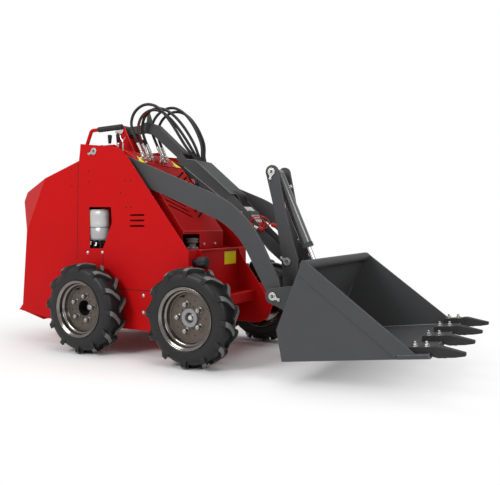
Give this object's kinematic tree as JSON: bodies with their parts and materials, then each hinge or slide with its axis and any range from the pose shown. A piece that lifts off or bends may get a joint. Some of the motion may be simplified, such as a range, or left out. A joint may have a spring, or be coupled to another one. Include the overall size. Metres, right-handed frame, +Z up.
{
  "type": "compact skid steer loader",
  "caption": "Compact wheeled skid steer loader with a parallel lift linkage, tilting toothed bucket, hydraulic cylinders and hoses.",
  "frame": {"origin": "on the ground, on the centre plane, midway between the front and rear axles", "axes": "+X forward to the bucket, +Y to the machine's left, +Z up"},
  "size_m": [2.9661, 1.001, 1.5466],
  "materials": {
    "red_paint": "gloss powder coat",
    "grey_paint": "satin powder coat",
    "zinc": "zinc plated",
    "tyre": "matte rubber",
    "rim_steel": "bare turned steel",
    "hose_rubber": "matte wrapped rubber",
    "black_plastic": "moulded",
    "engine": "dark cast",
    "canister": "satin",
    "chrome": "polished rod"
  },
  "bodies": {
    "root": {"frame_right": "red_paint", "frame_left": "red_paint", "belly_pan": "red_paint", "front_wall": "red_paint", "cross_members": "red_paint", "side_panel_right": "red_paint", "side_panel_left": "red_paint", "rear_hood": "red_paint", "rear_cover": "red_paint", "rear_door": "red_paint", "front_hood": "red_paint", "louvre_panel": "red_paint", "link_bracket": "red_paint", "hand_rail": "red_paint", "control_levers": "black_plastic", "hose_fittings": "zinc", "engine_block": "engine", "air_filter": "canister", "filler_cap": "black_plastic", "arm_pivot_pins": "zinc", "link_pivot_pin": "zinc", "hose_1": "hose_rubber", "hose_2": "hose_rubber", "hose_3": "hose_rubber", "hose_4": "hose_rubber", "hose_5": "hose_rubber"},
    "wheel_front_right": {"tyre_front_right": "tyre", "rim_front_right": "rim_steel"},
    "wheel_front_left": {"tyre_front_left": "tyre", "rim_front_left": "rim_steel"},
    "wheel_rear_right": {"tyre_rear_right": "tyre", "rim_rear_right": "rim_steel"},
    "wheel_rear_left": {"tyre_rear_left": "tyre", "rim_rear_left": "rim_steel"},
    "arms": {"arm_right": "grey_paint", "arm_left": "grey_paint", "mast_foot_pins": "zinc"},
    "link": {"link_frame": "grey_paint", "link_cover": "grey_paint", "couplers": "zinc", "link_fork_pin": "zinc"},
    "mast": {"mast": "grey_paint", "mast_pins": "zinc"},
    "bucket": {"bucket_shell": "grey_paint", "cutting_edge": "grey_paint", "bucket_teeth": "grey_paint"},
    "tilt_barrel": {"tilt_barrel": "grey_paint"},
    "tilt_rod": {"tilt_rod": "chrome"},
    "lift_barrel_right": {"lift_barrel_right": "grey_paint"},
    "lift_rod_right": {"lift_rod_right": "chrome"},
    "lift_barrel_left": {"lift_barrel_left": "grey_paint"},
    "lift_rod_left": {"lift_rod_left": "chrome"}
  },
  "joints": [
    {"name": "wheel_front_right_spin", "type": "hinge", "parent": "root", "child": "wheel_front_right", "pos_m": [0.385, -0.428, 0.273], "axis": [0, 1, 0], "continuous": true},
    {"name": "wheel_front_left_spin", "type": "hinge", "parent": "root", "child": "wheel_front_left", "pos_m": [0.385, 0.428, 0.273], "axis": [0, 1, 0], "continuous": true},
    {"name": "wheel_rear_right_spin", "type": "hinge", "parent": "root", "child": "wheel_rear_right", "pos_m": [-0.385, -0.428, 0.273], "axis": [0, 1, 0], "continuous": true},
    {"name": "wheel_rear_left_spin", "type": "hinge", "parent": "root", "child": "wheel_rear_left", "pos_m": [-0.385, 0.428, 0.273], "axis": [0, 1, 0], "continuous": true},
    {"name": "lift", "type": "hinge", "parent": "root", "child": "arms", "pos_m": [-0.398, 0, 1.224], "axis": [0, -1, 0], "range_deg": [-3, 58]},
    {"name": "link_swing", "type": "hinge", "parent": "root", "child": "link", "pos_m": [-0.418, 0, 1.392], "axis": [0, -1, 0], "range_deg": [-3, 58], "deforming": ["hose_1", "hose_2", "hose_3", "hose_4", "hose_5"]},
    {"name": "mast_level", "type": "hinge", "parent": "arms", "child": "mast", "pos_m": [0.815, 0, 0.4], "axis": [0, 1, 0], "range_deg": [-3, 58]},
    {"name": "bucket_tilt", "type": "hinge", "parent": "mast", "child": "bucket", "pos_m": [0.815, 0, 0.4], "axis": [0, 1, 0], "range_deg": [-25, 55]},
    {"name": "tilt_barrel_swing", "type": "hinge", "parent": "mast", "child": "tilt_barrel", "pos_m": [0.697, 0, 1.07], "axis": [0, 1, 0], "range_deg": [-3.17, 1.45]},
    {"name": "tilt_rod_slide", "type": "slide", "parent": "tilt_barrel", "child": "tilt_rod", "axis": [0.4016, 0, -0.9158], "range_m": [-0.0727, 0.1593]},
    {"name": "lift_barrel_right_swing", "type": "hinge", "parent": "root", "child": "lift_barrel_right", "pos_m": [-0.03, -0.251, 0.52], "axis": [0, -1, 0], "range_deg": [-2.48, 0.14]},
    {"name": "lift_rod_right_slide", "type": "slide", "parent": "lift_barrel_right", "child": "lift_rod_right", "axis": [-0.0553, 0, 0.9985], "range_m": [-0.0193, 0.364]},
    {"name": "lift_barrel_left_swing", "type": "hinge", "parent": "root", "child": "lift_barrel_left", "pos_m": [-0.03, 0.251, 0.52], "axis": [0, -1, 0], "range_deg": [-2.48, 0.14]},
    {"name": "lift_rod_left_slide", "type": "slide", "parent": "lift_barrel_left", "child": "lift_rod_left", "axis": [-0.0553, 0, 0.9985], "range_m": [-0.0193, 0.364]}
  ],
  "couplings": [
    {"joint": "link_swing", "follows": "lift", "ratio": 1},
    {"joint": "mast_level", "follows": "lift", "ratio": 1},
    {"joint": "tilt_barrel_swing", "follows": "bucket_tilt", "ratio": -0.057484},
    {"joint": "tilt_rod_slide", "follows": "bucket_tilt", "m_per_rad": 0.16545},
    {"joint": "lift_barrel_right_swing", "follows": "lift", "ratio": -0.042499},
    {"joint": "lift_rod_right_slide", "follows": "lift", "m_per_rad": 0.35912},
    {"joint": "lift_barrel_left_swing", "follows": "lift", "ratio": -0.042499},
    {"joint": "lift_rod_left_slide", "follows": "lift", "m_per_rad": 0.35912}
  ]
}
